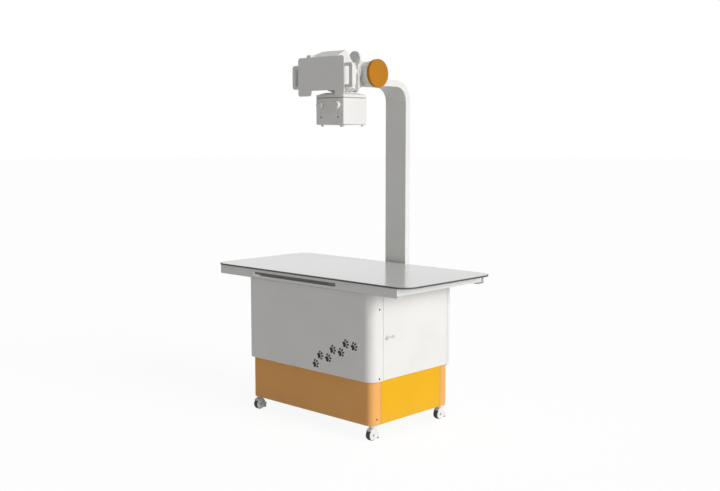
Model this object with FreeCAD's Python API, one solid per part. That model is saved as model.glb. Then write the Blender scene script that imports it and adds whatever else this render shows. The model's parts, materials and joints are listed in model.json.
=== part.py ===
import FreeCAD, Part
import math
import os

os.makedirs("parts", exist_ok=True)
V = FreeCAD.Vector

# All lengths are in millimetres, +Z is up, -Y is the front with the tray mouth, +X is the door end.
# x = 0 is the centre plane shared by the cabinet, the column and the head; y = 0 is the cabinet centre.

# Cabinet and plinth
cabHalfX = 427.5
cabHalfY = 292.0
cabRadius = 50.0
sheet = 1.5
plinthInset = 17.0
plinthBottom = 70.0
plinthTop = 274.0
cabGap = 1.0
cabBottom = plinthTop + cabGap
cabTop = 674.0
seamGap = 1.5
seamReach = 25.0
frontSeamY = cabRadius + seamReach - cabHalfY
rearSeamY = cabHalfY - cabRadius
flange = 28.5
flangeOver = 1.5
plinthX = cabHalfX - plinthInset
plinthY = cabHalfY - plinthInset
plinthRadius = cabRadius - plinthInset
plinthSeamReach = 29.0
plinthSeam = plinthY - plinthRadius - plinthSeamReach
through = 5.0
panelGap = 1.8
screwRadius = 4.0
plinthScrewRadius = 3.5
screwHeight = 1.0
screwInset = 24.0
screwLow = 13.0
screwHigh = 70.0
plinthScrewInset = 27.0
plinthScrewRise = 28.0
louvreCount = 8
louvrePitch = 16.0
louvreHeight = 5.0
louvreRise = 55.0
louvreFrontY = -90.0
louvreRearY = 110.0

# Welded frame
tube = 30.0
frameWall = 2.0
frameHalfX = cabHalfX - flange
frameHalfY = cabHalfY - flange
lowRingZ = plinthBottom + sheet
midRingZ = cabBottom + sheet
topRingZ = cabTop - sheet - tube
postX = frameHalfX - tube / 2.0
postY = frameHalfY - tube / 2.0
postGap = 0.5
bracketHalf = 50.0
bracketHeight = 60.0
bracketWall = 3.0
bracketGap = 1.0
barInset = 15.0
lowBracketZ = lowRingZ + tube + 48.5
highBracketZ = topRingZ - 22.5 - bracketHeight
bracketLevels = [(lowBracketZ, lowBracketZ + bracketHeight), (highBracketZ, highBracketZ + bracketHeight)]

# Floating tabletop, shown where the photograph has it
topLength = 1300.0
topDepth = 634.0
topThick = 8.0
topRadius = 70.0
topX = -11.0
topY = 10.0
edgeThick = 2.5
edgeDrop = 0.5
railInsetLeft = 42.0
railInsetRight = 56.0
railInsetY = 6.0
topGap = 3.0
railBottom = cabTop + topGap
railHeight = 43.0
railWall = 3.0
railLip = 36.0
railTopLip = 24.0
topZ = railBottom + railHeight + topThick
endPlateInset = 12.0
endPlateRise = 4.0
deckDrop = 17.5
deckFold = 30.0
deckWall = 2.0
deckTop = topRingZ + tube - deckDrop
deckX = frameHalfX - tube
deckY = frameHalfY - tube
guideInset = 28.5
guideY = deckY - guideInset
guideFoot = 10.0
guideHead = 7.0
guideFootHeight = 6.0
guideHeadHeight = 7.0
guideEnd = 4.0
blockReach = 165.0
blockLength = 50.0
blockHalf = 19.0
blockLift = 3.0
runGap = 0.3
barHalf = 22.0
barThick = 8.0

# Detector tray and its mouth in the front rail
mouthX0 = topX - 353.0
mouthX1 = topX + 219.0
mouthRise = 14.0
mouthHeight = 16.0
mouthZ0 = railBottom + mouthRise
mouthZ1 = mouthZ0 + mouthHeight
trayGap = 1.5
trayInset = 4.0
trayDepth = 470.0
trayWall = 2.0
trayFloor = 1.5
trayLip = 6.0
gripInset = 40.0
gripDepth = 4.0
panelSide = 460.0
panelThick = 10.0
hangerGap = 1.0
hangerWall = 3.0
hangerFoot = 12.0
hangerTop = 14.0
hangerInset = 2.0
stopThick = 4.0

# Inside the cabinet
shelfThick = 3.0
genX0 = -280.0
genX1 = 60.0
genY0 = -170.0
genY1 = 150.0
genHeight = 230.0
genWall = 2.0
genSlots = 5
genSlotPitch = 44.0
genSlotWidth = 30.0
genSlotRise = 60.0
genSlotHeight = 120.0

# Side door and latch
hingeInsetX = 6.5
hingeInsetY = 8.0
hingePlateFront = 9.0
hingePlateRear = 6.5
hingeX = cabHalfX - hingeInsetX
hingeY = rearSeamY - hingeInsetY
pinRadius = 3.0
pinGap = 0.06
pinLength = 9.0
doorDepth = 14.0
doorGap = 0.3
keeperReach = 20.0
keeperX = cabHalfX - sheet - keeperReach
latchInset = 25.0
latchY = frontSeamY + latchInset
latchZ = 470.0
latchBoss = 10.0
latchBossHeight = 6.0
spindleRadius = 5.0
leverLength = 40.0
leverHalf = 3.4
leverThick = 4.0
leverLift = 2.6
leverEnd = 6.0
tongueThick = 3.0
tongueHalf = 7.0
tongueLength = 36.0

# Column and its forward bend
colHalf = 68.0
columnGap = 17.0
colFrontY = topY + topDepth / 2.0 + columnGap
colThick = 32.0
colBottom = 110.0
colWall = 3.0
bendInner = 70.0
beamBottom = 1616.0
beamEndY = 165.0
beamTop = beamBottom + colThick
cableHalf = 30.0

# Mains inlet
inletX = -250.0
inletZ = 340.0
inletFlangeX = 25.0
inletFlangeZ = 16.0
inletFlangeThick = 3.0
inletHalfX = 13.5
inletHalfZ = 9.5
inletDepth = 22.0
inletGap = 0.5
socketHalfX = 11.0
socketHalfZ = 7.0
socketDepth = 14.0
inletPinHalfX = 1.0
inletPinHalfZ = 2.0
inletPinPitch = 6.0

# Tilt hub
hubY = 125.0
hubZ = 1675.0
hubRadius = 66.0
hubSmallRadius = 46.5
drumHalf = 9.2
drumRadius = 56.0
drumGap = 0.8
hubInnerX = drumHalf + drumGap
hubInnerRadius = 57.0
beamGap = 1.2
capOver = 2.5
capThick = 17.0
capEdge = 2.0
axleRadius = 15.0
axleEnd = 0.5
fit = 0.05
ribReach = 65.0
ribRise = 40.0
ribCrest = 30.0
ribFall = 6.0
ribSide = 4.0
cheekInside = 9.0

# Tube head
rollZ = 1681.0
rollRadius = 12.0
rollBoss = 22.0
plateFrontY = 41.0
plateThick = 10.0
plateRearY = plateFrontY + plateThick
plateHalf = 26.0
plateBottom = 1583.0
plateDisc = 37.3
plateTop = 1780.8
plateGap = 1.0
rollFlange = 33.0
flangeY0 = plateRearY + plateGap
flangeY1 = hubY - hubRadius - beamGap
webLow = 1595.0
webFootY = hubY - 20.0
webHigh = 1742.0
headHalfX = 153.0
coverFrontY = -187.0
coverThick = 5.0
coverRearY = coverFrontY + coverThick
coverTop = 1741.0
coverBottom = 1585.0
coverRadius = 14.0
lobeBottom = 1560.0
lobeOverlap = 65.0
lobeLeftWidth = 89.0
lobeRightWidth = 60.0
headBottom = 1597.0
housingHalfX = 125.0
housingTopHalf = 75.0
housingCorner = 15.0
shoulderZ = 1700.0
housingTop = 1773.0
housingRearY = -88.0
frontLevel = coverTop - 3.0
ridgeY = -99.0
plugX = -85.0
plugZ = 1738.0
plugRadius = 16.0
plugDepth = 60.0
tankHalfX = 75.0
tankShoulderY = -30.0
tankRearX = 40.0
tankRearY = 5.0
finHalf = 8.0
finLow = 1600.0
finHigh = 1725.0
neckBottom = 1581.0
neckLowRadius = 45.0
neckHighRadius = 85.0
spigotRadius = 36.0
spigotLength = 12.0
beamHole = 28.0

# Side handles
handleReach = 200.0
handleFrontY = -180.0
handleDepth = 24.0
handleWidth = 21.0
handleBottom = 1594.5
handleTop = 1707.0
handleArm = 14.0
handleFoot = 3.0
handleFootTop = 9.0
handleRadius = 14.0
handleInner = 8.0
handleSoft = 16.0

# Collimator
colliHalfX = 93.0
colliY0 = -128.0
colliY1 = 31.0
colliBottom = 1426.0
colliTop = 1551.5
colliRadius = 6.0
wall = 3.0
windowHalf = 60.0
windowOver = 6.0
windowThick = 2.0
lidGroove = 3.0
lidGrooveDepth = 2.0
lidHeight = 15.5
hipRise = 11.0
hipInset = 3.0
hipTopX = 55.0
hipTopY = 55.0
turnRadius = 44.0
turnLift = 8.0
turnGap = 0.3
leafThick = 3.0
leafRiseX = 59.0
leafRiseY = 79.0
leafSide = 3.0
leafHalfGap = 2.0
leafTravelX = 21.5
leafTravelY = 18.0
leafWidthX = 42.0
leafWidthY = 36.0
ledge = 14.0
ledgeThick = 4.0
clawX = 70.0
clawWall = 3.0
clawLip = 10.0
clawHeight = 8.0
clawLength = 12.0
clawFrontY = -113.0
clawRearY = 16.0
clawLipThick = 2.0
beamY = (colliY0 + colliY1) / 2.0
knobX = 57.0
knobZ = 1518.0
knobRadius = 17.5
knobLength = 17.0
knobGap = 1.0
knobEdge = 2.0
knobRibs = 12
ribRadius = 1.8
ribOut = 0.6
shaftRadius = 4.0
shaftLength = 14.0

# Casters
casterX = 387.6
casterY = 240.7
casterPlateRadius = 20.0
casterPlateThick = 3.0
kingRadius = 5.0
kingLength = 10.0
turretRadius = 19.0
turretHeight = 9.7
neckRadius = 12.0
swivelGap = 0.3
wheelRadius = 26.0
wheelHalf = 10.8
wheelEdge = 2.5
wheelAxle = 4.0
trail = -10.7
wheelGap = 1.2
sideGap = 0.7
hoodWall = 2.3
sideWall = 2.0
sideDrop = 2.0
hoodFront = 10.0
hoodOpen = 20.0
hoodBottom = 5.0
skirtLow = 11.5
earFrontY = 20.0
earRearY = 36.5
earLow = 18.0
earHigh = 31.0
pedalY = 31.5
pedalZ = 24.0
pedalBoss = 4.2
pedalPin = 2.0
pedalOpen = 40.0
pedalArmFront = 2.0
pedalArmRear = 3.0
soleLow = 5.0
soleHigh = 9.5
soleToe = 7.5
soleHeel = 6.0


def box(x0, x1, y0, y1, z0, z1):
    return Part.makeBox(x1 - x0, y1 - y0, z1 - z0, V(x0, y0, z0))


def rod(start, direction, radius, length):
    return Part.makeCylinder(radius, length, V(*start), V(*direction))


def polygonX(points, x0, x1):
    wire = Part.makePolygon([V(x0, y, z) for y, z in points + points[:1]])
    return Part.Face(wire).extrude(V(x1 - x0, 0, 0))


def polygonY(points, y0, y1):
    wire = Part.makePolygon([V(x, y0, z) for x, z in points + points[:1]])
    return Part.Face(wire).extrude(V(0, y1 - y0, 0))


def polygonZ(points, z0, z1):
    wire = Part.makePolygon([V(x, y, z0) for x, y in points + points[:1]])
    return Part.Face(wire).extrude(V(0, 0, z1 - z0))


def roundedSlab(x0, x1, y0, y1, radius, z0, z1):
    slab = box(x0, x1, y0, y1, z0, z1)
    if radius <= 0.0:
        return slab
    upright = [e for e in slab.Edges if abs(e.Vertexes[0].Z - e.Vertexes[-1].Z) > 1e-6]
    return slab.makeFillet(radius, upright)


def fuseAll(shapes):
    return shapes[0].multiFuse(shapes[1:]).removeSplitter()


def group(shapes):
    return Part.makeCompound(shapes)


def mirrored(shape):
    return shape.mirror(V(0, 0, 0), V(1, 0, 0))


# The row's origin is under the middle of the whole machine, on the floor
shift = V(-topX, -(topY - topDepth / 2.0 + colFrontY + colThick) / 2.0, 0)


def save(name, shape):
    shape.translate(shift)
    shape.exportStep("parts/" + name + ".step")
    print(name, round(shape.Volume / 1000.0, 1), "cm3", "valid" if shape.isValid() else "INVALID")


def shell(halfX, halfY, radius, wallThick, z0, z1):
    outer = roundedSlab(-halfX, halfX, -halfY, halfY, radius, z0, z1)
    inner = roundedSlab(wallThick - halfX, halfX - wallThick, wallThick - halfY, halfY - wallThick,
                        radius - wallThick, z0, z1)
    return outer.cut(inner)


# Welded frame: three rings, four corner posts, rear cross bars that carry the column
def ring(z0):
    outer = box(-frameHalfX, frameHalfX, -frameHalfY, frameHalfY, z0, z0 + tube)
    inner = box(tube - frameHalfX, frameHalfX - tube, tube - frameHalfY, frameHalfY - tube, z0, z0 + tube)
    grooveX = frameHalfX - frameWall
    grooveY = frameHalfY - frameWall
    groove = box(-grooveX, grooveX, -grooveY, grooveY, z0 + frameWall, z0 + tube - frameWall)
    return outer.cut(inner).cut(groove)


corners = [(sx * postX, sy * postY) for sx in (-1, 1) for sy in (-1, 1)]
frameTop = topRingZ + tube
postHalf = tube / 2.0
frameParts = [ring(lowRingZ), ring(midRingZ), ring(topRingZ)]
for px, py in corners:
    frameParts.append(box(px - postHalf, px + postHalf, py - postHalf, py + postHalf, lowRingZ, frameTop))
for z0, z1 in bracketLevels:
    barX = frameHalfX - through
    barLow = z0 + barInset
    barHigh = z1 - barInset
    bar = box(-barX, barX, frameHalfY - tube, frameHalfY, barLow, barHigh)
    hollow = box(-deckX, deckX, deckY - 1, frameHalfY - frameWall,
                 barLow + frameWall, barHigh - frameWall)
    frameParts.append(bar.cut(hollow))
frame = fuseAll(frameParts)
boreHalf = postHalf - frameWall
for px, py in corners:
    bore = box(px - boreHalf, px + boreHalf, py - boreHalf, py + boreHalf,
               lowRingZ - 1, frameTop - frameWall)
    frame = frame.cut(bore)
save("chassis_frame", frame)

# White cabinet wraps with flanges that lie on the frame rings
flangeWidth = flange + flangeOver
cabShell = shell(cabHalfX, cabHalfY, cabRadius, sheet, cabBottom, cabTop)
cabLow = shell(cabHalfX, cabHalfY, cabRadius, flangeWidth, cabBottom, cabBottom + sheet)
cabHigh = shell(cabHalfX, cabHalfY, cabRadius, flangeWidth, cabTop - sheet, cabTop)
cabFull = fuseAll([cabShell, cabLow, cabHigh])


def postNotch(shape, z0, z1):
    half = postHalf + postGap
    for px, py in corners:
        shape = shape.cut(box(px - half, px + half, py - half, py + half, z0, z1))
    return shape


def rearSkinHole(shape, skinY, x0, x1, z0, z1):
    return shape.cut(box(x0, x1, skinY - sheet - through, skinY + through, z0, z1))


cabFull = postNotch(cabFull, cabBottom - 1, cabBottom + sheet)
beyondX = cabHalfX + through
beyondY = cabHalfY + through
frontZone = box(-beyondX, beyondX, -beyondY, frontSeamY, 0, cabTop + through)
rearZone = box(-beyondX, beyondX, rearSeamY, beyondY, 0, cabTop + through)
frontWrap = cabFull.common(frontZone)
keepers = []
for sx in (-1, 1):
    x0, x1 = sorted((sx * keeperX, sx * (cabHalfX - sheet / 3.0)))
    keepers.append(box(x0, x1, frontSeamY - sheet, frontSeamY,
                       cabBottom + sheet / 3.0, cabTop - sheet / 3.0))
frontWrap = fuseAll([frontWrap] + keepers)
save("cabinet_front_wrap", frontWrap)

slotX = bracketHalf + bracketGap
rearWrap = cabFull.common(rearZone)
rearWrap = rearSkinHole(rearWrap, cabHalfY, -slotX, slotX, highBracketZ - bracketGap,
                        highBracketZ + bracketHeight + bracketGap)
inletHoleX = inletHalfX + inletGap
inletHoleZ = inletHalfZ + inletGap
rearWrap = rearSkinHole(rearWrap, cabHalfY, inletX - inletHoleX, inletX + inletHoleX,
                        inletZ - inletHoleZ, inletZ + inletHoleZ)
save("cabinet_rear_wrap", rearWrap)

# Left end panel with louvres
panelY0 = frontSeamY + seamGap
panelY1 = rearSeamY - seamGap
panelLow = cabBottom + panelGap
panelHigh = cabTop - panelGap
leftPan = box(-cabHalfX, -frameHalfX, panelY0, panelY1, panelLow, panelHigh)
leftPan = leftPan.cut(box(-cabHalfX + sheet, -frameHalfX + 1, panelY0 + sheet, panelY1 - sheet,
                          panelLow + sheet, panelHigh - sheet))
for i in range(louvreCount):
    z0 = cabBottom + louvreRise + louvrePitch * i
    leftPan = leftPan.cut(box(-beyondX, -cabHalfX + 2 * sheet, louvreFrontY, louvreRearY,
                              z0, z0 + louvreHeight))
save("side_panel_left", leftPan)

# Orange plinth
plinthFold = plinthX - frameHalfX + 4 * sheet
plinthShell = shell(plinthX, plinthY, plinthRadius, sheet, plinthBottom, plinthTop)
plinthFlange = shell(plinthX, plinthY, plinthRadius, plinthFold, plinthBottom, plinthBottom + sheet)
plinthFull = fuseAll([plinthShell, plinthFlange])
frontHalf = box(-beyondX, beyondX, -beyondY, -plinthSeam, 0, plinthTop + through)
rearHalf = box(-beyondX, beyondX, plinthSeam, beyondY, 0, plinthTop + through)
save("plinth_front_wrap", plinthFull.common(frontHalf))
plinthRear = rearSkinHole(plinthFull.common(rearHalf), plinthY, -slotX, slotX, lowBracketZ - bracketGap,
                          lowBracketZ + bracketHeight + bracketGap)
save("plinth_rear_wrap", plinthRear)
sides = []
for sx in (-1, 1):
    x0, x1 = sorted((sx * (plinthX - plinthFold), sx * plinthX))
    y1 = plinthSeam - seamGap
    pan = box(x0, x1, -y1, y1, plinthBottom, plinthTop)
    x2, x3 = sorted((sx * (plinthX - plinthFold - 1), sx * (plinthX - sheet)))
    sides.append(pan.cut(box(x2, x3, -y1 - 1, y1 + 1, plinthBottom + sheet, plinthTop + 1)))
save("plinth_sides", group(sides))

# Screws that hold the wraps, with flat heads that stand proud
screws = []
for sx in (-1, 1):
    for z in (cabBottom + screwLow, cabTop - screwHigh):
        place = (sx * cabHalfX, frontSeamY - screwInset, z)
        screws.append(rod(place, (sx, 0, 0), screwRadius, screwHeight))
    place = (sx * plinthX, -plinthSeam - plinthScrewInset, plinthBottom + plinthScrewRise)
    screws.append(rod(place, (sx, 0, 0), plinthScrewRadius, screwHeight))
save("panel_screws", group(screws))

# Top deck pan and the two guide rails of the floating top
deck = box(-deckX, deckX, -deckY, deckY, deckTop - deckFold, deckTop)
deck = deck.cut(box(deckWall - deckX, deckX - deckWall, deckWall - deckY, deckY - deckWall,
                    deckTop - deckFold - 1, deckTop - deckWall))
save("top_deck", deck)
guideMid = deckTop + guideFootHeight
guideTop = guideMid + guideHeadHeight
guideX = deckX - guideEnd
guides = []
for sy in (-1, 1):
    y = sy * guideY
    foot = box(-guideX, guideX, y - guideFoot, y + guideFoot, deckTop, guideMid)
    head = box(-guideX, guideX, y - guideHead, y + guideHead, guideMid, guideTop)
    guides.append(fuseAll([foot, head]))
save("guide_rails", group(guides))

# Shelf and generator cover inside
shelfZ = midRingZ + tube
shelfTop = shelfZ + shelfThick
shelf = box(-frameHalfX, frameHalfX, -frameHalfY, frameHalfY, shelfZ, shelfTop)
save("shelf", postNotch(shelf, shelfZ - 1, shelfTop + 1))
genTop = shelfTop + genHeight
cover = box(genX0, genX1, genY0, genY1, shelfTop, genTop)
cover = cover.cut(box(genX0 + genWall, genX1 - genWall, genY0 + genWall, genY1 - genWall,
                      shelfTop - 1, genTop - genWall))
slotZ = shelfTop + genSlotRise
slotSpan = genSlotPitch * (genSlots - 1) + genSlotWidth
for i in range(genSlots):
    y0 = (genY0 + genY1 - slotSpan) / 2.0 + genSlotPitch * i
    cover = cover.cut(box(genX1 - genWall - 1, genX1 + 1, y0, y0 + genSlotWidth,
                          slotZ, slotZ + genSlotHeight))
save("generator_box", cover)

# Hinge brackets with pins for the side door
hingeX0 = frameHalfX - tube / 2.0
hingeY0 = hingeY - hingePlateFront
hingeY1 = hingeY + hingePlateRear
lowPlate = box(hingeX0, cabHalfX, hingeY0, hingeY1, midRingZ - frameWall, midRingZ)
lowPlate = postNotch(lowPlate, midRingZ - frameWall - 1, midRingZ + 1)
lowPin = rod((hingeX, hingeY, midRingZ - 1), (0, 0, 1), pinRadius, pinLength)
highPlate = box(hingeX0, cabHalfX, hingeY0, hingeY1, frameTop, frameTop + frameWall)
highPin = rod((hingeX, hingeY, frameTop + 1 - pinLength), (0, 0, 1), pinRadius, pinLength)
save("hinge_brackets", group([fuseAll([lowPlate, lowPin]), fuseAll([highPlate, highPin])]))

# Side door: folded pan that turns on the two pins
doorZ0 = midRingZ + doorGap
doorZ1 = frameTop - doorGap
doorX0 = cabHalfX - doorDepth
door = box(doorX0, cabHalfX, panelY0, panelY1, doorZ0, doorZ1)
door = door.cut(box(doorX0 - 1, cabHalfX - sheet, panelY0 + sheet, panelY1 - sheet,
                    doorZ0 + sheet, doorZ1 - sheet))
door = door.cut(rod((hingeX, hingeY, doorZ0 - 1), (0, 0, 1), pinRadius + pinGap, doorZ1 - doorZ0 + 2))
door = door.cut(rod((cabHalfX - 2 * sheet, latchY, latchZ), (1, 0, 0), spindleRadius + fit, 4 * sheet))
save("side_door", door)

# Latch: turning lever outside, tongue inside; the tongue stands up and turns down behind the keeper
tongueX = keeperX - doorGap
bossX = cabHalfX + doorGap
bladeX = bossX + leverLift
boss = rod((bossX, latchY, latchZ), (1, 0, 0), latchBoss, latchBossHeight)
tongueInner = tongueX - tongueThick
spindle = rod((tongueInner, latchY, latchZ), (1, 0, 0), spindleRadius, bossX + 1 - tongueInner)
blade = box(bladeX, bladeX + leverThick, latchY, latchY + leverLength,
            latchZ - leverHalf, latchZ + leverHalf)
bladeTip = rod((bladeX, latchY + leverLength, latchZ), (1, 0, 0), leverEnd, leverThick)
tongue = box(tongueInner, tongueX, latchY - tongueHalf, latchY + tongueHalf,
             latchZ - tongueHalf, latchZ + tongueLength)
save("latch_lever", fuseAll([boss, spindle, blade, bladeTip, tongue]))

# Column: flat box section bent forward at the top
rearY = colFrontY + colThick


def columnProfile(grow):
    y0 = colFrontY + grow
    y1 = rearY - grow
    z0 = colBottom + grow
    under = beamBottom + grow
    upper = beamTop - grow
    cy = colFrontY - bendInner
    cz = beamBottom - bendInner
    inner = bendInner + grow
    outer = bendInner + colThick - grow
    end = beamEndY + grow
    half = math.sqrt(0.5)
    points = {
        "a": V(0, y0, z0), "b": V(0, y0, cz), "c": V(0, cy, under), "d": V(0, end, under),
        "e": V(0, end, upper), "f": V(0, cy, upper), "g": V(0, y1, cz), "h": V(0, y1, z0),
    }
    innerMid = V(0, cy + inner * half, cz + inner * half)
    outerMid = V(0, cy + outer * half, cz + outer * half)
    edges = [
        Part.makeLine(points["a"], points["b"]),
        Part.Arc(points["b"], innerMid, points["c"]).toShape(),
        Part.makeLine(points["c"], points["d"]),
        Part.makeLine(points["d"], points["e"]),
        Part.makeLine(points["e"], points["f"]),
        Part.Arc(points["f"], outerMid, points["g"]).toShape(),
        Part.makeLine(points["g"], points["h"]),
        Part.makeLine(points["h"], points["a"]),
    ]
    return Part.Face(Part.Wire(edges))


def columnBody(grow):
    face = columnProfile(grow)
    half = colHalf - grow
    face.translate(V(-half, 0, 0))
    return face.extrude(V(2 * half, 0, 0))


column = columnBody(0.0).cut(columnBody(colWall))
cableY = through + colWall
column = column.cut(box(-cableHalf, cableHalf, colFrontY + cableY, rearY - cableY,
                        colBottom - 1, colBottom + colWall + 1))
scoopHalf = drumHalf + drumGap
column = column.cut(rod((-scoopHalf, hubY, hubZ), (1, 0, 0), drumRadius + beamGap, 2 * scoopHalf))
save("column", column)
brackets = []
for z0, z1 in bracketLevels:
    bracket = box(-bracketHalf, bracketHalf, frameHalfY, colFrontY, z0, z1)
    brackets.append(bracket.cut(box(bracketWall - bracketHalf, bracketHalf - bracketWall, frameHalfY - 1,
                                    colFrontY - bracketWall, z0 + bracketWall, z1 - bracketWall)))
save("column_brackets", group(brackets))

# Mains inlet on the rear wrap
inletRear = cabHalfY + inletFlangeThick
inletFlange = box(inletX - inletFlangeX, inletX + inletFlangeX, cabHalfY, inletRear,
                  inletZ - inletFlangeZ, inletZ + inletFlangeZ)
inletBody = box(inletX - inletHalfX, inletX + inletHalfX, cabHalfY - inletDepth, inletRear,
                inletZ - inletHalfZ, inletZ + inletHalfZ)
inlet = fuseAll([inletFlange, inletBody])
inlet = inlet.cut(box(inletX - socketHalfX, inletX + socketHalfX, cabHalfY - socketDepth, inletRear + 1,
                      inletZ - socketHalfZ, inletZ + socketHalfZ))
for i in (-1, 0, 1):
    pinX = inletX + inletPinPitch * i
    contact = box(pinX - inletPinHalfX, pinX + inletPinHalfX, cabHalfY - socketDepth, cabHalfY - 1,
                  inletZ - inletPinHalfZ, inletZ + inletPinHalfZ)
    inlet = inlet.fuse(contact)
save("power_inlet", inlet.removeSplitter())


# Hub castings: a wide drum at the right and a cone at the left that carry the tilt axle on the beam's end
def hubCasting(innerRadius, outerRadius):
    cone = Part.makeCone(innerRadius, outerRadius, colHalf - hubInnerX,
                         V(hubInnerX, hubY, hubZ), V(1, 0, 0))
    cheek = polygonX([
        (beamEndY + ribReach, beamTop), (hubY, beamTop), (hubY, hubZ - hubSmallRadius + cheekInside),
        (beamEndY, beamBottom), (beamEndY, beamTop),
    ], hubInnerX, colHalf)
    rib = polygonX([
        (beamEndY + ribReach, beamTop), (hubY, beamTop),
        (hubY, hubZ + ribRise), (hubY + ribCrest, hubZ + ribRise - ribFall),
    ], hubInnerX + ribSide, colHalf - ribSide)
    body = fuseAll([cone, cheek, rib])
    body = body.cut(box(0, colHalf + 1, beamEndY, beamEndY + 2 * ribReach, beamBottom, beamTop))
    return body.cut(rod((0, hubY, hubZ), (1, 0, 0), axleRadius + fit, colHalf + 1))


def hubCap(radius):
    disc = rod((colHalf, hubY, hubZ), (1, 0, 0), radius, capThick)
    circles = [e for e in disc.Edges if len(e.Vertexes) == 1]
    rim = [e for e in circles if abs(e.Vertexes[0].X - colHalf - capThick) < 1e-6]
    return disc.makeFillet(capEdge, rim)


save("hub_casting_left", mirrored(hubCasting(hubInnerRadius, hubSmallRadius)))
save("hub_cap_left", mirrored(hubCap(hubSmallRadius + capOver)))
save("hub_casting_right", hubCasting(hubInnerRadius, hubRadius))
save("hub_cap_right", hubCap(hubRadius + capOver))

# Tilt bracket: drum with axle, forward web, roll flange and roll shaft
drum = rod((-drumHalf, hubY, hubZ), (1, 0, 0), drumRadius, 2 * drumHalf)
axleHalf = colHalf - axleEnd
axle = rod((-axleHalf, hubY, hubZ), (1, 0, 0), axleRadius, 2 * axleHalf)
footDrop = math.sqrt(drumRadius ** 2 - (hubY - webFootY) ** 2)
web = polygonX([
    (flangeY1, webLow), (webFootY, hubZ - footDrop), (hubY, hubZ), (hubY, hubZ + drumRadius),
    (flangeY1, webHigh), (flangeY0, webHigh), (flangeY0, webLow),
], -drumHalf, drumHalf)
flangeDisc = rod((0, flangeY0, rollZ), (0, 1, 0), rollFlange, flangeY1 - flangeY0)
rollShaft = rod((0, plateFrontY + 1.0, rollZ), (0, 1, 0), rollRadius, flangeY1 - plateFrontY - 1.0)
save("tilt_bracket", fuseAll([drum, axle, web, flangeDisc, rollShaft]))

# Tube head: rear tank with a mounting plate under a round disc, and the neck above the collimator
discZ = plateTop - plateDisc
plate = box(-plateHalf, plateHalf, plateFrontY, plateRearY, plateBottom + plateHalf, discZ)
plateFoot = rod((0, plateFrontY, plateBottom + plateHalf), (0, 1, 0), plateHalf, plateThick)
plateHead = rod((0, plateFrontY, discZ), (0, 1, 0), plateDisc, plateThick)
tank = polygonZ([
    (-tankHalfX, housingRearY), (tankHalfX, housingRearY), (tankHalfX, tankShoulderY),
    (tankRearX, tankRearY), (-tankRearX, tankRearY), (-tankHalfX, tankShoulderY),
], headBottom, shoulderZ)
rollHub = rod((0, tankRearY - 1, rollZ), (0, 1, 0), rollBoss, plateFrontY - tankRearY + 1)
fin = box(-finHalf, finHalf, tankShoulderY, plateFrontY + 1, finLow, finHigh)
neck = Part.makeCone(neckLowRadius, neckHighRadius, headBottom - neckBottom,
                     V(0, beamY, neckBottom), V(0, 0, 1))
spigot = rod((0, beamY, neckBottom - spigotLength), (0, 0, 1), spigotRadius, spigotLength + 2)
tankBody = fuseAll([plate, plateFoot, plateHead, tank, rollHub, fin, neck, spigot])
tankBody = tankBody.cut(rod((0, plateFrontY, rollZ), (0, 1, 0), rollRadius + fit, plateThick + through))
tankBody = tankBody.cut(rod((0, beamY, neckBottom - spigotLength - 1), (0, 0, 1),
                            beamHole, 4 * spigotLength))
save("tube_tank", tankBody)

# Housing behind the front cover, with the raised rear part and a round plug on its top
footHalfX = housingHalfX - housingCorner
footZ = headBottom + housingCorner
octagon = [
    (-footHalfX, headBottom), (footHalfX, headBottom), (housingHalfX, footZ), (housingHalfX, shoulderZ),
    (housingTopHalf, housingTop), (-housingTopHalf, housingTop),
    (-housingHalfX, shoulderZ), (-housingHalfX, footZ),
]
housing = polygonY(octagon, coverRearY, housingRearY)
housing = housing.cut(polygonX([
    (coverRearY - 1, frontLevel), (coverRearY, frontLevel), (ridgeY, housingTop),
    (ridgeY, housingTop + through), (coverRearY - 1, housingTop + through),
], -headHalfX, headHalfX))
plug = rod((plugX, coverRearY, plugZ), (0, 1, 0), plugRadius, plugDepth)
save("tube_housing", fuseAll([housing, plug]))

# Front cover plate with two lower lobes
lobeTop = -coverBottom - lobeOverlap
cover = roundedSlab(-headHalfX, headHalfX, -coverTop, -coverBottom, coverRadius, 0, coverThick)
lobeLeft = roundedSlab(-headHalfX, lobeLeftWidth - headHalfX, lobeTop, -lobeBottom,
                       coverRadius, 0, coverThick)
lobeRight = roundedSlab(headHalfX - lobeRightWidth, headHalfX, lobeTop, -lobeBottom,
                        coverRadius, 0, coverThick)
cover = fuseAll([cover, lobeLeft, lobeRight])
cover.rotate(V(0, 0, 0), V(1, 0, 0), -90)
cover.translate(V(0, coverFrontY - cover.BoundBox.YMin, 0))
save("front_cover", cover)


# Side handle, D shaped, with softened rear edges
def handle():
    z0 = handleBottom
    z1 = handleTop
    y1 = handleFrontY + handleDepth
    baseX = housingHalfX
    innerX = baseX + handleFoot
    outer = roundedSlab(baseX, handleReach, z0, z1, handleRadius, 0, handleDepth)
    hole = roundedSlab(innerX, handleReach - handleWidth, z0 + handleArm, z1 - handleArm, handleInner, -1,
                       handleDepth + 1)
    square = box(baseX, innerX + 1, z0 + handleArm, z1 - handleFootTop, 0, handleDepth)
    blank = outer.cut(box(baseX - 1, innerX, z0 - 1, z1 + 1, -1, handleDepth + 1))
    blank = blank.fuse(square)
    blank = blank.cut(hole)
    blank.rotate(V(0, 0, 0), V(1, 0, 0), 90)
    blank.translate(V(0, y1, 0))
    soft = polygonX([
        (handleFrontY - 1, z0 - 1), (y1 - handleSoft, z0 - 1), (y1 + 1, z0 + handleSoft),
        (y1 + 1, z1 - handleSoft), (y1 - handleSoft, z1 + 1), (handleFrontY - 1, z1 + 1),
    ], baseX - 1, handleReach + 1)
    return blank.common(soft).removeSplitter()


save("handle_left", mirrored(handle()))
save("handle_right", handle())

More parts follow.
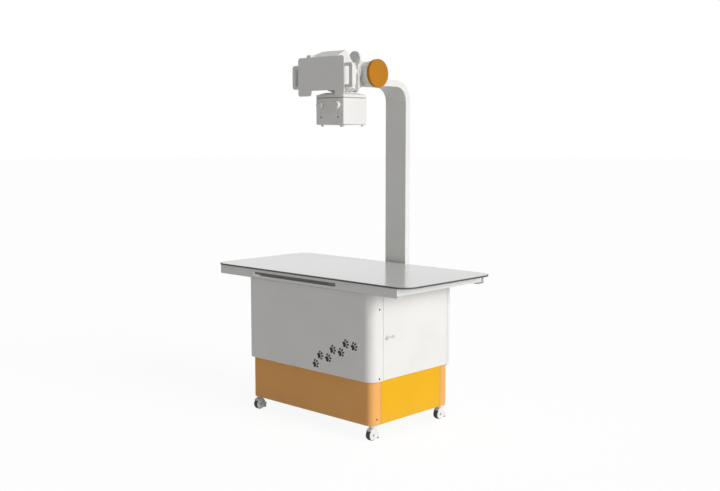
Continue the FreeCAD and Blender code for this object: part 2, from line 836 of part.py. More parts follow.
# Collimator: open-topped body with claws, lid with hip, window, four shutter leaves, two knobs
body = box(-colliHalfX, colliHalfX, colliY0, colliY1, colliBottom, colliTop)
rounded = [e for e in body.Edges if min(e.Vertexes[0].Z, e.Vertexes[-1].Z) < colliBottom + 1e-6]
body = body.makeFillet(colliRadius, rounded)
inX = colliHalfX - wall
inY0 = colliY0 + wall
inY1 = colliY1 - wall
body = body.cut(box(-inX, inX, inY0, inY1, colliBottom + wall, colliTop + 1))
body = body.cut(box(-windowHalf, windowHalf, beamY - windowHalf, beamY + windowHalf,
                    colliBottom - 1, colliBottom + wall + 1))
leafXz = colliBottom + leafRiseX
leafYz = colliBottom + leafRiseY
ledgeXz = leafXz - turnGap
ledgeYz = leafYz - turnGap
ledges = [
    box(-inX, inX, inY0 - 1, inY0 + ledge, ledgeXz - ledgeThick, ledgeXz),
    box(-inX, inX, inY1 - ledge, inY1 + 1, ledgeXz - ledgeThick, ledgeXz),
    box(-inX - 1, ledge - inX, inY0, inY1, ledgeYz - ledgeThick, ledgeYz),
    box(inX - ledge, inX + 1, inY0, inY1, ledgeYz - ledgeThick, ledgeYz),
]
claws = []
clawBottom = colliBottom - clawHeight
for sx in (-1, 1):
    for y0 in (clawFrontY, clawRearY):
        x0, x1 = sorted((sx * clawX, sx * (clawX + clawWall)))
        claws.append(box(x0, x1, y0, y0 + clawLength, clawBottom, colliBottom + 1))
        x0, x1 = sorted((sx * (clawX - clawLip), sx * (clawX + clawWall)))
        claws.append(box(x0, x1, y0, y0 + clawLength, clawBottom, clawBottom + clawLipThick))
body = fuseAll([body] + ledges + claws)
for sx in (-1, 1):
    body = body.cut(rod((sx * knobX, colliY0 - 1, knobZ), (0, 1, 0), shaftRadius + fit, wall + 2))
save("collimator_body", body)

lidLow = colliTop + lidGroove
lidTop = colliTop + lidHeight
restX = colliHalfX - lidGrooveDepth
lidBase = roundedSlab(-colliHalfX, colliHalfX, colliY0, colliY1, colliRadius, lidLow, lidTop)
lidStep = box(1 - inX, inX - 1, inY0 + 1, inY1 - 1, colliTop - ledgeThick, lidLow + 1)
lidRest = roundedSlab(-restX, restX, colliY0 + lidGrooveDepth, colliY1 - lidGrooveDepth,
                      colliRadius - lidGrooveDepth, colliTop, lidLow + 1)


def rectangle(halfX, halfY, z):
    low = beamY - halfY
    high = beamY + halfY
    return Part.makePolygon([V(x, y, z) for x, y in (
        (-halfX, low), (halfX, low), (halfX, high), (-halfX, high), (-halfX, low))])


hipX = colliHalfX - hipInset
hipY = colliY1 - beamY - hipInset
hip = Part.makeLoft([rectangle(hipX, hipY, lidTop), rectangle(hipTopX, hipTopY, lidTop + hipRise)], True)
turnBottom = neckBottom - turnGap - turnLift
turn = rod((0, beamY, turnBottom), (0, 0, 1), turnRadius, turnLift)
lid = fuseAll([lidBase, lidStep, lidRest, hip, turn])
lid = lid.cut(rod((0, beamY, colliTop - 2 * ledgeThick), (0, 0, 1), spigotRadius + fit, 4 * lidHeight))
save("collimator_lid", lid)
paneHalf = windowHalf + windowOver
window = box(-paneHalf, paneHalf, beamY - paneHalf, beamY + paneHalf,
             colliBottom + wall, colliBottom + wall + windowThick)
save("collimator_window", window)

openX = leafHalfGap + leafTravelX
openY = leafHalfGap + leafTravelY
for sx, label in ((-1, "left"), (1, "right")):
    x0, x1 = sorted((sx * openX, sx * (openX + leafWidthX)))
    leaf = box(x0, x1, inY0 + leafSide, inY1 - leafSide, leafXz, leafXz + leafThick)
    save("shutter_" + label, leaf)
for sy, label in ((-1, "front"), (1, "rear")):
    y0, y1 = sorted((beamY + sy * openY, beamY + sy * (openY + leafWidthY)))
    leaf = box(leafSide - inX, inX - leafSide, y0, y1, leafYz, leafYz + leafThick)
    save("shutter_" + label, leaf)
knobFront = colliY0 - knobGap - knobLength
for sx, label in ((-1, "left"), (1, "right")):
    knob = rod((sx * knobX, knobFront, knobZ), (0, 1, 0), knobRadius, knobLength)
    face = [e for e in knob.Edges if len(e.Vertexes) == 1 and abs(e.Vertexes[0].Y - knobFront) < 1e-6]
    knob = knob.makeFillet(knobEdge, face)
    for i in range(knobRibs):
        a = 2 * math.pi * i / knobRibs
        cx = sx * knobX + (knobRadius + ribOut) * math.cos(a)
        cz = knobZ + (knobRadius + ribOut) * math.sin(a)
        knob = knob.cut(rod((cx, knobFront - 1, cz), (0, 1, 0), ribRadius, knobLength + 2))
    shaft = rod((sx * knobX, colliY0 - knobGap - 1, knobZ), (0, 1, 0), shaftRadius, shaftLength)
    save("knob_" + label, fuseAll([knob, shaft]))

# Floating top: panel, edging, two C rails, end plates, cross bars, slide blocks, tray guides
halfL = topLength / 2.0
halfD = topDepth / 2.0
underTop = topZ - topThick


def topSlab(inset, z0, z1):
    return roundedSlab(topX - halfL + inset, topX + halfL - inset,
                       topY - halfD + inset, topY + halfD - inset, topRadius - inset, z0, z1)


save("tabletop", topSlab(edgeThick, underTop, topZ))
save("tabletop_edge", topSlab(0.0, underTop, topZ - edgeDrop).cut(topSlab(edgeThick, underTop, topZ)))

railX0 = topX - halfL + railInsetLeft
railX1 = topX + halfL - railInsetRight
railY0 = topY - halfD + railInsetY
railY1 = topY + halfD - railInsetY


def cRail(outerY, inward):
    y0, y1 = sorted((outerY, outerY + inward * railWall))
    web = box(railX0, railX1, y0, y1, railBottom, underTop)
    y0, y1 = sorted((outerY, outerY + inward * railLip))
    lip = box(railX0, railX1, y0, y1, railBottom, railBottom + railWall)
    y0, y1 = sorted((outerY, outerY + inward * railTopLip))
    top = box(railX0, railX1, y0, y1, underTop - railWall, underTop)
    return fuseAll([web, lip, top])


railFront = cRail(railY0, 1)
railFront = railFront.cut(box(mouthX0, mouthX1, railY0 - 1, railY0 + railWall + 1, mouthZ0, mouthZ1))
save("rail_front", railFront)
save("rail_rear", cRail(railY1, -1))
plates = []
lipTop = railBottom + railWall
endLow = lipTop + endPlateRise
for sx, x in ((-1, railX0 + endPlateInset), (1, railX1 - endPlateInset)):
    x0, x1 = sorted((x, x - sx * railWall))
    low = box(x0, x1, railY0 + railWall, railY1 - railWall, endLow, underTop - railWall)
    high = box(x0, x1, railY0 + railTopLip, railY1 - railTopLip, endLow, underTop)
    plates.append(fuseAll([low, high]))
save("end_plates", group(plates))
bars = []
blocks = []
for sx in (-1, 1):
    bx = topX + sx * blockReach
    x0 = bx - blockLength / 2.0
    x1 = bx + blockLength / 2.0
    bars.append(box(bx - barHalf, bx + barHalf, railY0 + railWall, railY1 - railWall,
                    lipTop, lipTop + barThick))
    for sy in (-1, 1):
        y = sy * guideY
        footGap = guideFoot + runGap
        headGap = guideHead + runGap
        block = box(x0, x1, y - blockHalf, y + blockHalf, deckTop + blockLift, lipTop)
        block = block.cut(box(x0 - 1, x1 + 1, y - footGap, y + footGap, deckTop, guideMid + runGap))
        block = block.cut(box(x0 - 1, x1 + 1, y - headGap, y + headGap, deckTop, guideTop + runGap))
        blocks.append(block)
save("cross_bars", group(bars))
save("slide_blocks", group(blocks))

# Tray guides hang from the tabletop on both sides of the tray and carry its edges
trayX0 = mouthX0 + trayGap
trayX1 = mouthX1 - trayGap
trayZ0 = mouthZ0 + trayGap
trayZ1 = mouthZ1 - trayGap
trayFrontY = railY0 + trayInset
trayRearY = trayFrontY + trayDepth
hangerFront = railY0 + railTopLip + hangerInset
hangerRear = trayRearY + hangerFoot
footTop = trayZ0 - runGap
footLow = footTop - hangerWall
hangers = []
for sx, edge in ((-1, trayX0), (1, trayX1)):
    inner = edge + sx * hangerGap
    outer = inner + sx * hangerWall
    reach = edge - sx * hangerFoot
    x0, x1 = sorted((inner, outer))
    upright = box(x0, x1, hangerFront, hangerRear, footLow, underTop)
    x0, x1 = sorted((outer, reach))
    foot = box(x0, x1, hangerFront, hangerRear, footLow, footTop)
    x0, x1 = sorted((outer, outer + sx * hangerTop))
    top = box(x0, x1, hangerFront, hangerRear, underTop - hangerWall, underTop)
    x0, x1 = sorted((inner, reach))
    stop = box(x0, x1, hangerRear - stopThick, hangerRear, footLow, trayZ1)
    hangers.append(fuseAll([upright, foot, top, stop]))
save("tray_guides", group(hangers))

# Detector tray: shallow pan with a grip recess across the mouth
floorZ = trayZ0 + trayFloor
bedY = trayFrontY + trayLip
tray = box(trayX0, trayX1, trayFrontY, trayRearY, trayZ0, trayZ1)
tray = tray.cut(box(trayX0 + trayWall, trayX1 - trayWall, bedY, trayRearY - trayWall, floorZ, trayZ1 + 1))
tray = tray.cut(box(trayX0 + gripInset, trayX1 - gripInset, trayFrontY - 1, trayFrontY + gripDepth,
                    trayZ0 + gripDepth, trayZ1 - hangerWall))
save("detector_tray", tray)
trayMid = (trayX0 + trayX1) / 2.0
panelHalf = panelSide / 2.0
detector = box(trayMid - panelHalf, trayMid + panelHalf, bedY + 1, trayRearY - trayWall - 1,
               floorZ, floorZ + panelThick)
save("detector_panel", detector)

# Casters: round plate with king pin, hooded fork, wheel, brake pedal
plateZ = plinthBottom - casterPlateThick
forkTop = plateZ - swivelGap
casterSpots = []
for sy, depthName in ((-1, "front"), (1, "rear")):
    for sx, widthName in ((-1, "left"), (1, "right")):
        casterSpots.append((sx * casterX, sy * casterY, depthName + "_" + widthName))
casterPlates = []
for cx, cy, name in casterSpots:
    base = rod((cx, cy, plateZ), (0, 0, 1), casterPlateRadius, casterPlateThick)
    pin = rod((cx, cy, plateZ - kingLength), (0, 0, 1), kingRadius, kingLength + 1)
    casterPlates.append(fuseAll([base, pin]))
save("caster_plates", group(casterPlates))

cavityHalf = wheelHalf + sideGap
hoodHalf = cavityHalf + sideWall
cavityRadius = wheelRadius + wheelGap
hoodRadius = cavityRadius + hoodWall


def casterFork(cx, cy):
    wy = cy + trail
    hood = rod((cx - hoodHalf, wy, wheelRadius), (1, 0, 0), hoodRadius, 2 * hoodHalf)
    hood = hood.cut(box(cx - 2 * hoodHalf, cx + 2 * hoodHalf, wy - 2 * hoodRadius, wy - hoodFront,
                        -1, wheelRadius + hoodOpen))
    cheeks = rod((cx - hoodHalf, wy, wheelRadius), (1, 0, 0), wheelRadius - sideDrop, 2 * hoodHalf)
    skirt = box(cx - hoodHalf, cx + hoodHalf, wy, wy + hoodRadius, skirtLow, wheelRadius)
    ears = box(cx - hoodHalf, cx + hoodHalf, wy + earFrontY, wy + earRearY, earLow, earHigh)
    neckRod = rod((cx, cy, hoodRadius), (0, 0, 1), neckRadius, forkTop - hoodRadius)
    turret = rod((cx, cy, forkTop - turretHeight), (0, 0, 1), turretRadius, turretHeight)
    solid = fuseAll([hood, cheeks, skirt, ears, neckRod, turret])
    solid = solid.cut(box(cx - 2 * hoodHalf, cx + 2 * hoodHalf, wy - 2 * hoodRadius, wy + 2 * hoodRadius,
                          -2 * hoodRadius, hoodBottom))
    solid = solid.cut(rod((cx - cavityHalf, wy, wheelRadius), (1, 0, 0), cavityRadius, 2 * cavityHalf))
    solid = solid.cut(box(cx - cavityHalf, cx + cavityHalf, wy - 2 * hoodRadius, wy - hoodFront + 1,
                          -1, wheelRadius + hoodOpen))
    solid = solid.cut(box(cx - cavityHalf, cx + cavityHalf, wy + earFrontY, wy + 2 * hoodRadius,
                          -1, pedalOpen))
    solid = solid.cut(rod((cx, cy, plateZ - kingLength - swivelGap), (0, 0, 1),
                          kingRadius + fit, 2 * kingLength))
    axleRod = rod((cx - hoodHalf, wy, wheelRadius), (1, 0, 0), wheelAxle, 2 * hoodHalf)
    pedalRod = rod((cx - hoodHalf, wy + pedalY, pedalZ), (1, 0, 0), pedalPin, 2 * hoodHalf)
    return fuseAll([solid, axleRod, pedalRod])


def casterWheel(cx, cy):
    wy = cy + trail
    wheel = rod((cx - wheelHalf, wy, wheelRadius), (1, 0, 0), wheelRadius, 2 * wheelHalf)
    rims = [e for e in wheel.Edges if len(e.Vertexes) == 1]
    wheel = wheel.makeFillet(wheelEdge, rims)
    return wheel.cut(rod((cx - 2 * wheelHalf, wy, wheelRadius), (1, 0, 0), wheelAxle + fit, 4 * wheelHalf))


def brakePedal(cx, cy):
    py = cy + trail + pedalY
    half = wheelHalf
    pivot = rod((cx - half, py, pedalZ), (1, 0, 0), pedalBoss, 2 * half)
    arm = polygonX([
        (py - pedalArmFront, pedalZ), (py + pedalArmRear, pedalZ), (py + pedalArmRear, soleHigh),
        (py + soleHeel, soleHigh), (py + soleHeel, soleLow), (py - soleToe, soleLow),
        (py - soleToe, soleHigh - 1), (py - pedalArmFront, soleHigh),
    ], cx - half, cx + half)
    pedal = fuseAll([pivot, arm])
    return pedal.cut(rod((cx - 2 * half, py, pedalZ), (1, 0, 0), pedalPin + fit, 4 * half))


for cx, cy, name in casterSpots:
    save("fork_" + name, casterFork(cx, cy))
    save("wheel_" + name, casterWheel(cx, cy))
    save("brake_" + name, brakePedal(cx, cy))
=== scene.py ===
import json
import math

import bmesh
import bpy
from mathutils import Matrix, Vector

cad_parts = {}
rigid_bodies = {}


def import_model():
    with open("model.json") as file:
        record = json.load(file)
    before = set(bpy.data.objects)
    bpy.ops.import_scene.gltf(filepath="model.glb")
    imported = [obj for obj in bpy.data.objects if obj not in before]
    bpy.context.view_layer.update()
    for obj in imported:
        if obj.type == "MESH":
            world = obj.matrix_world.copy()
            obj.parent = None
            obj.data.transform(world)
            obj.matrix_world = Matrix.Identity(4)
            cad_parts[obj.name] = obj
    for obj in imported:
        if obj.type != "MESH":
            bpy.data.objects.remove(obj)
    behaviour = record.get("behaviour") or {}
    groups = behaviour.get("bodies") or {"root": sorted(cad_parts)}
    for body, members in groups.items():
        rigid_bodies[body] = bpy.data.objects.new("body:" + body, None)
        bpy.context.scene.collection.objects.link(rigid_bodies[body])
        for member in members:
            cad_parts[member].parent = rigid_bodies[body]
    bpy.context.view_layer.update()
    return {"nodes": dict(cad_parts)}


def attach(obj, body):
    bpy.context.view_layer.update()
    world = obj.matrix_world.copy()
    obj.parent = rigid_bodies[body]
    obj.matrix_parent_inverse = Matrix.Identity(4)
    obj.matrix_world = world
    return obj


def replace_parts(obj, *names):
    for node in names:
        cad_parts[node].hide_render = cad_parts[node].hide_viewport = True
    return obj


for old in list(bpy.data.objects):
    bpy.data.objects.remove(old)

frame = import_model()
print("loaded", len(frame["nodes"]), "nodes")


# Places are in millimetres from the machine's own centre, right of and in front of the frame's origin
ownCentre = (11.0, -34.5)


def spot(x, y, z):
    return Vector((x + ownCentre[0], y + ownCentre[1], z)) / 1000.0


# Camera, where the photograph was taken from
shot = {"place": (3.40604, -3.52269, 1.37274), "down": 6.242, "turn": 43.566, "lens": 50.0, "sensor": 36.0,
        "far": 200.0}
lensData = bpy.data.cameras.new("camera")
lensData.lens = shot["lens"]
lensData.sensor_width = shot["sensor"]
lensData.sensor_fit = "HORIZONTAL"
lensData.clip_end = shot["far"]
camera = bpy.data.objects.new("camera", lensData)
camera.location = shot["place"]
camera.rotation_euler = (math.radians(90.0 - shot["down"]), 0.0, math.radians(shot["turn"]))
bpy.context.scene.collection.objects.link(camera)
bpy.context.scene.camera = camera
bpy.context.scene.view_settings.view_transform = "Standard"


# Shader building
class Wire:
    def __init__(self, finish, socket):
        self.finish = finish
        self.socket = socket

    def sum(self, operation, first, second):
        return self.finish.node("ShaderNodeMath", {"operation": operation}, {0: first, 1: second})

    def __add__(self, other):
        return self.sum("ADD", self, other)

    def __radd__(self, other):
        return self.sum("ADD", other, self)

    def __sub__(self, other):
        return self.sum("SUBTRACT", self, other)

    def __rsub__(self, other):
        return self.sum("SUBTRACT", other, self)

    def __mul__(self, other):
        return self.sum("MULTIPLY", self, other)

    def above(self, level):
        return self.sum("GREATER_THAN", self, level)

    def biggest(self, other):
        return self.sum("MAXIMUM", self, other)

    def wave(self):
        return self.finish.node("ShaderNodeMath", {"operation": "SINE"}, {0: self})

    def part(self):
        return self.finish.node("ShaderNodeMath", {"operation": "FRACT"}, {0: self})

    def size(self):
        return self.finish.node("ShaderNodeMath", {"operation": "ABSOLUTE"}, {0: self})


class Finish:
    def __init__(self, name, world=None):
        self.owner = world or bpy.data.materials.new(name)
        self.owner.use_nodes = True
        self.tree = self.owner.node_tree
        self.shader = self.tree.nodes.get("Principled BSDF")

    def node(self, kind, settings=None, inputs=None, output=0):
        made = self.tree.nodes.new(kind)
        for key, value in (settings or {}).items():
            if key == "stops":
                while len(made.color_ramp.elements) < len(value):
                    made.color_ramp.elements.new(0.5)
                for stop, (place, colour) in zip(made.color_ramp.elements, value):
                    stop.position = place
                    stop.color = (*colour, 1.0) if len(colour) == 3 else colour
            else:
                setattr(made, key, value)
        for key, value in (inputs or {}).items():
            self.feed(made.inputs[key], value)
        return Wire(self, made.outputs[output])

    def feed(self, socket, value):
        if isinstance(value, Wire):
            self.tree.links.new(value.socket, socket)
        elif isinstance(value, (tuple, list)) and len(value) == 3 and socket.type == "RGBA":
            socket.default_value = (*value, 1.0)
        else:
            socket.default_value = value

    def set(self, **values):
        for key, value in values.items():
            self.feed(self.shader.inputs[key.replace("_", " ")], value)
        return self

    def place(self, scale=(1.0, 1.0, 1.0), shift=(0.0, 0.0, 0.0), turn=(0.0, 0.0, 0.0)):
        point = self.node("ShaderNodeTexCoord", output="Object")
        inputs = {"Vector": point, "Location": shift, "Rotation": turn, "Scale": scale}
        return self.node("ShaderNodeMapping", {}, inputs)

    def axis(self, point, which):
        return self.node("ShaderNodeSeparateXYZ", {}, {0: point}, output=which)

    def noise(self, point, scale, detail=2.0, rough=0.5):
        inputs = {"Vector": point, "Scale": scale, "Detail": detail, "Roughness": rough}
        return self.node("ShaderNodeTexNoise", {}, inputs)

    def cells(self, point, scale, output="Distance"):
        return self.node("ShaderNodeTexVoronoi", {}, {"Vector": point, "Scale": scale}, output=output)

    def range(self, value, low, high, newLow=0.0, newHigh=1.0):
        return self.node("ShaderNodeMapRange", {}, {0: value, 1: low, 2: high, 3: newLow, 4: newHigh})

    def blend(self, share, first, second):
        return self.node("ShaderNodeMix", {"data_type": "RGBA"}, {0: share, 6: first, 7: second}, output=2)

    def bump(self, height, distance, strength=1.0):
        return self.node("ShaderNodeBump", {}, {"Height": height, "Distance": distance, "Strength": strength})


def tone(colour, factor):
    return tuple(min(1.0, c * factor) for c in colour)


# Powder coat and satin mouldings: fine skin, faint blotches, a little dust low down
coat = {"grain": 620.0, "blotch": 4.5, "smudge": 17.0, "dustTop": 0.16, "dust": (0.42, 0.40, 0.36)}


def powderCoat(name, colour, roughness=0.42, depth=0.00005, grain=coat["grain"], dusty=0.0, shine=0.5):
    f = Finish(name)
    point = f.place()
    skin = f.noise(point, grain, 3.0, 0.55)
    blotch = f.range(f.noise(point, coat["blotch"], 3.0), 0.35, 0.65)
    smudge = f.noise(point, coat["smudge"], 4.0, 0.6)
    paint = f.blend(blotch, tone(colour, 0.975), tone(colour, 1.02))
    if dusty:
        height = f.range(f.axis(point, "Z"), coat["dustTop"], 0.0)
        speck = f.range(f.noise(point, 55.0, 6.0, 0.7), 0.42, 0.72)
        paint = f.blend(height * speck * dusty, paint, coat["dust"])
    f.set(Base_Color=paint, Roughness=roughness + (smudge - 0.5) * 0.14, Normal=f.bump(skin, depth, 0.5))
    f.shader.inputs["Specular IOR Level"].default_value = shine
    return f.owner


def laminate(name, colour):
    f = Finish(name)
    point = f.place()
    speck = f.range(f.noise(point, 900.0, 2.0), 0.3, 0.7)
    cloud = f.range(f.noise(point, 2.6, 3.0), 0.3, 0.7)
    wipe = f.noise(f.place(scale=(3.0, 26.0, 10.0), turn=(0.0, 0.0, 0.35)), 1.0, 5.0, 0.62)
    base = f.blend(cloud, tone(colour, 0.985), tone(colour, 1.015))
    base = f.blend(speck * 0.10, base, tone(colour, 0.9))
    ripple = f.noise(point, 60.0, 2.0)
    f.set(Base_Color=base, Roughness=f.range(wipe, 0.35, 0.7, 0.16, 0.20),
          Normal=f.bump(ripple, 0.00002, 0.4))
    f.shader.inputs["Coat Weight"].default_value = 0.35
    f.shader.inputs["Coat Roughness"].default_value = 0.06
    return f.owner


def moulded(name, colour, roughness=0.45, grain=1300.0, depth=0.00006, shine=0.5):
    f = Finish(name)
    point = f.place()
    leather = f.cells(point, grain)
    cloud = f.range(f.noise(point, 9.0, 3.0), 0.3, 0.7)
    rub = f.noise(point, 38.0, 5.0, 0.65)
    f.set(Base_Color=f.blend(cloud, tone(colour, 0.96), tone(colour, 1.03)),
          Roughness=roughness + (rub - 0.5) * 0.2, Normal=f.bump(leather, depth, 0.5))
    f.shader.inputs["Specular IOR Level"].default_value = shine
    return f.owner


def metal(name, colour, roughness, streak=(6.0, 900.0, 900.0), depth=0.00003, spangle=0.0):
    f = Finish(name)
    line = f.noise(f.place(scale=streak), 1.0, 4.0, 0.6)
    point = f.place()
    stain = f.range(f.noise(point, 21.0, 4.0), 0.35, 0.7)
    base = f.blend(stain, colour, tone(colour, 0.86))
    if spangle:
        grain = f.cells(point, spangle, "Color")
        base = f.blend(f.axis(grain, "X") * 0.35, base, tone(colour, 0.72))
    f.set(Base_Color=base, Metallic=1.0, Roughness=roughness + (line - 0.5) * 0.22,
          Normal=f.bump(line, depth, 0.6))
    return f.owner


def rubber(name, colour):
    f = Finish(name)
    point = f.place()
    fine = f.noise(point, 1500.0, 3.0, 0.6)
    scuff = f.range(f.noise(point, 120.0, 5.0, 0.7), 0.5, 0.72)
    f.set(Base_Color=f.blend(scuff * 0.5, colour, tone(colour, 2.1)), Roughness=0.62 + fine * 0.2,
          Normal=f.bump(fine, 0.00015, 0.5))
    return f.owner


# A twill of dark threads under a clear coat
weave = {"tows": 250.0, "turn": 12.566}


def wovenPlate(name):
    f = Finish(name)
    point = f.place(scale=(weave["tows"],) * 3)
    across, along = f.axis(point, "X"), f.axis(point, "Y")
    twill = ((across + along) * 0.5).part().above(0.5)
    weft, warp = (across * weave["turn"]).wave(), (along * weave["turn"]).wave()
    thread = (weft * (1.0 - twill) + warp * twill).size()
    tint = f.blend(twill * 0.6 + thread * 0.25, (0.012, 0.012, 0.014), (0.045, 0.046, 0.05))
    f.set(Base_Color=tint, Roughness=0.28 + thread * 0.15, Normal=f.bump(thread, 0.0001, 0.4))
    f.shader.inputs["Coat Weight"].default_value = 0.6
    f.shader.inputs["Coat Roughness"].default_value = 0.12
    return f.owner


def leadPlate(name):
    f = Finish(name)
    point = f.place()
    bloom = f.range(f.noise(point, 48.0, 6.0, 0.68), 0.36, 0.68)
    f.set(Base_Color=f.blend(bloom, (0.16, 0.165, 0.175), (0.30, 0.30, 0.305)), Metallic=0.85,
          Roughness=f.range(bloom, 0.0, 1.0, 0.42, 0.66), Normal=f.bump(bloom, 0.0001, 0.5))
    return f.owner


def clearPane(name):
    f = Finish(name)
    point = f.place()
    film = f.range(f.noise(point, 30.0, 4.0), 0.4, 0.8, 0.02, 0.10)
    f.set(Base_Color=(0.86, 0.93, 0.95), Roughness=film)
    f.shader.inputs["Transmission Weight"].default_value = 0.9
    f.shader.inputs["IOR"].default_value = 1.49
    return f.owner


white = (0.80, 0.79, 0.765)
finishes = {
    "white_paint": powderCoat("whitePaint", white, dusty=0.15),
    "orange_paint": powderCoat("orangePaint", (0.86, 0.43, 0.13), roughness=0.40, dusty=0.35, shine=0.15),
    "orange_cap": moulded("orangeCap", (0.48, 0.19, 0.009), roughness=0.42, shine=0.15),
    "frame_paint": powderCoat("framePaint", (0.27, 0.28, 0.29), roughness=0.5, depth=0.00010),
    "bright_steel": metal("groundSteel", (0.62, 0.62, 0.61), 0.24),
    "zinc_steel": metal("zincSteel", (0.60, 0.61, 0.62), 0.36, streak=(90.0, 90.0, 90.0), spangle=170.0),
    "bare_aluminium": metal("millAluminium", (0.74, 0.745, 0.75), 0.32, streak=(4.0, 500.0, 500.0)),
    "screw_black": metal("blackOxide", (0.035, 0.035, 0.038), 0.38, streak=(300.0, 300.0, 300.0)),
    "top_panel": laminate("topLaminate", (0.80, 0.815, 0.79)),
    "top_edge": moulded("edgeStrip", (0.070, 0.080, 0.085), roughness=0.5),
    "tray_paint": powderCoat("trayPaint", (0.21, 0.205, 0.185), roughness=0.5),
    "detector_black": wovenPlate("carbonPlate"),
    "head_white": moulded("headMoulding", white, roughness=0.4, grain=1100.0),
    "cover_white": powderCoat("coverPaint", white, roughness=0.38),
    "handle_white": moulded("handleMoulding", white, roughness=0.42, grain=900.0),
    "cast_white": powderCoat("castPaint", white, roughness=0.45, depth=0.00012, grain=300.0),
    "window_clear": clearPane("clearPane"),
    "shutter_lead": leadPlate("leadPlate"),
    "knob_white": moulded("knobMoulding", (0.80, 0.79, 0.77), roughness=0.4),
    "latch_chrome": metal("latchChrome", (0.72, 0.72, 0.70), 0.16, streak=(60.0, 400.0, 400.0)),
    "inlet_black": moulded("inletMoulding", (0.02, 0.02, 0.021), roughness=0.5),
    "fork_white": moulded("forkMoulding", (0.78, 0.78, 0.77), roughness=0.45),
    "wheel_grey": rubber("wheelTread", (0.060, 0.061, 0.064)),
    "pedal_grey": moulded("pedalMoulding", (0.075, 0.075, 0.078), roughness=0.5),
}
endPanelPaint = powderCoat("endPanelPaint", (0.82, 0.44, 0.008), roughness=0.40, dusty=0.3, shine=0.15)
darkPrint = moulded("printInk", (0.012, 0.012, 0.013), roughness=0.55)
darkScrew = metal("darkScrew", (0.05, 0.05, 0.055), 0.40, streak=(300.0, 300.0, 300.0))
markPaint = moulded("markInk", (0.33, 0.325, 0.31), roughness=0.5)
# Dark colour for the strip in the collimator lid's groove: painted shade, not a real foam seal
paintedGrooveShade = rubber("paintedGrooveShade", (0.16, 0.155, 0.145))
wheelCore = moulded("wheelCore", (0.42, 0.42, 0.41), roughness=0.5)
boltZinc = metal("boltZinc", (0.62, 0.62, 0.63), 0.34, streak=(220.0, 220.0, 220.0))

for name, node in frame["nodes"].items():
    held = node.material_slots[0]
    slotName = held.material.name
    held.link = "OBJECT"
    held.material = endPanelPaint if name == "plinth_sides" else finishes[slotName]
print("finishes on the CAD nodes")


# Small moulding and sheet radii on the nodes whose edges stand open, in metres
edgeSizes = {
    "front_cover": 0.0012, "handle_left": 0.0035, "handle_right": 0.0035, "column": 0.0012,
    "tube_housing": 0.0020, "tilt_bracket": 0.0012, "collimator_lid": 0.0012,
    "hub_casting_right": 0.0012, "rail_front": 0.0004,
    "rail_rear": 0.0008, "end_plates": 0.0006, "column_brackets": 0.0010, "detector_tray": 0.0006,
    "chassis_frame": 0.0008, "generator_box": 0.0008, "slide_blocks": 0.0008, "cross_bars": 0.0008,
    "top_deck": 0.0006, "side_door": 0.0004,
}
edgeWork = {"weld": 0.000005, "flatAngle": 0.5, "sharpAngle": 40.0, "segments": 2}
keepFacets = ("collimator_lid", "chassis_frame")  # their flat faces aren't joined before the bevel
for name, width in edgeSizes.items():
    node = frame["nodes"][name]
    weld = node.modifiers.new("weld", "WELD")
    weld.merge_threshold = edgeWork["weld"]
    if name not in keepFacets:
        flat = node.modifiers.new("flat", "DECIMATE")
        flat.decimate_type = "DISSOLVE"
        flat.angle_limit = math.radians(edgeWork["flatAngle"])
    soft = node.modifiers.new("edge", "BEVEL")
    soft.width = width
    soft.segments = edgeWork["segments"]
    soft.limit_method = "ANGLE"
    soft.angle_limit = math.radians(edgeWork["sharpAngle"])
    soft.harden_normals = True
print("edges softened")


# New pieces
mend = {"merge": 0.000004, "sharpAngle": 35.0}


def finished(bm, name, body, materials):
    bmesh.ops.remove_doubles(bm, verts=bm.verts, dist=mend["merge"])
    bmesh.ops.recalc_face_normals(bm, faces=bm.faces)
    mesh = bpy.data.meshes.new(name)
    bm.to_mesh(mesh)
    bm.free()
    mesh.shade_smooth()
    mesh.set_sharp_from_angle(angle=math.radians(mend["sharpAngle"]))
    for material in materials:
        mesh.materials.append(material)
    piece = bpy.data.objects.new(name, mesh)
    bpy.context.scene.collection.objects.link(piece)
    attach(piece, body)
    return piece


def newVerts(result):
    return [g for g in result["geom"] if isinstance(g, bmesh.types.BMVert)]


# Edges whose ends both lie in a group of vertices
def edgesWithin(verts):
    return [e for e in {e for v in verts for e in v.link_edges} if all(v in verts for v in e.verts)]


def outwardTurn(outward):
    return Vector((0.0, 0.0, 1.0)).rotation_difference(Vector(outward)).to_matrix().to_4x4()


# A bar with softened edges, from its lowest to its highest corner in metres
def softBar(bm, low, high, soft):
    made = bmesh.ops.create_cube(bm, size=1.0)["verts"]
    stretch = Matrix.Diagonal((*(high - low), 1.0))
    bmesh.ops.transform(bm, matrix=Matrix.Translation((low + high) / 2.0) @ stretch, verts=made)
    edges = list({e for v in made for e in v.link_edges})
    bmesh.ops.bevel(bm, geom=edges, offset=soft, segments=2, profile=0.5, affect="EDGES", material=-1)


# A button head with a hexagon socket
screwShape = {"sides": 24, "steps": ((0.98, 0.30), (0.86, 0.72), (0.60, 1.0)), "socket": 0.40, "depth": 0.65}


